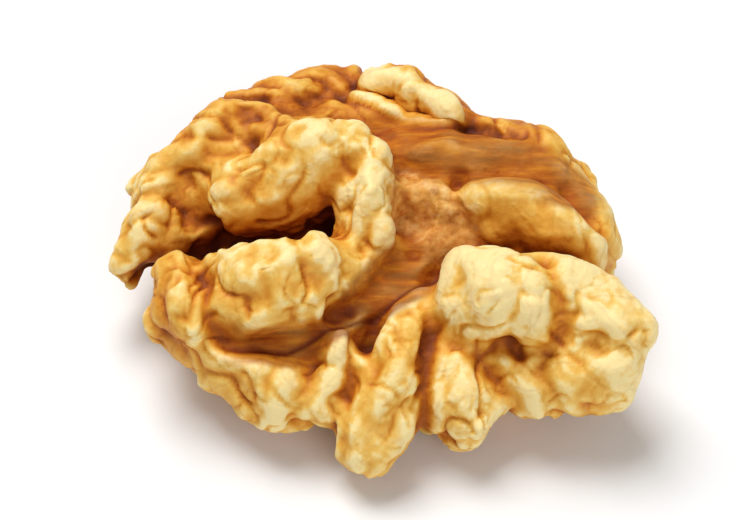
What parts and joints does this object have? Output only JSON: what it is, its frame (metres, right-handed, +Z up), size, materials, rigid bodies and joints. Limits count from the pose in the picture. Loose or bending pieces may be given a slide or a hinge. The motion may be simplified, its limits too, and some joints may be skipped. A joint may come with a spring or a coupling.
{
  "type": "walnut kernel half",
  "caption": "Shelled walnut kernel half lying on its rounded back, split side up, with deep folds, a hooked lobe and lobed rims.",
  "frame": {"origin": "middle of the footprint at ground level, with the kernel lying on its rounded back", "axes": "+X along the kernel's length towards its pale lobe, +Y across it away from the low front edge, +Z up out of the split side"},
  "size_m": [0.0368, 0.03, 0.0153],
  "materials": {
    "kernel_skin": "thin golden tan skin with a faint waxy sheen, cream on the crests and brown in the folds"
  },
  "bodies": {
    "root": {"walnut_half": "kernel_skin"}
  },
  "joints": []
}
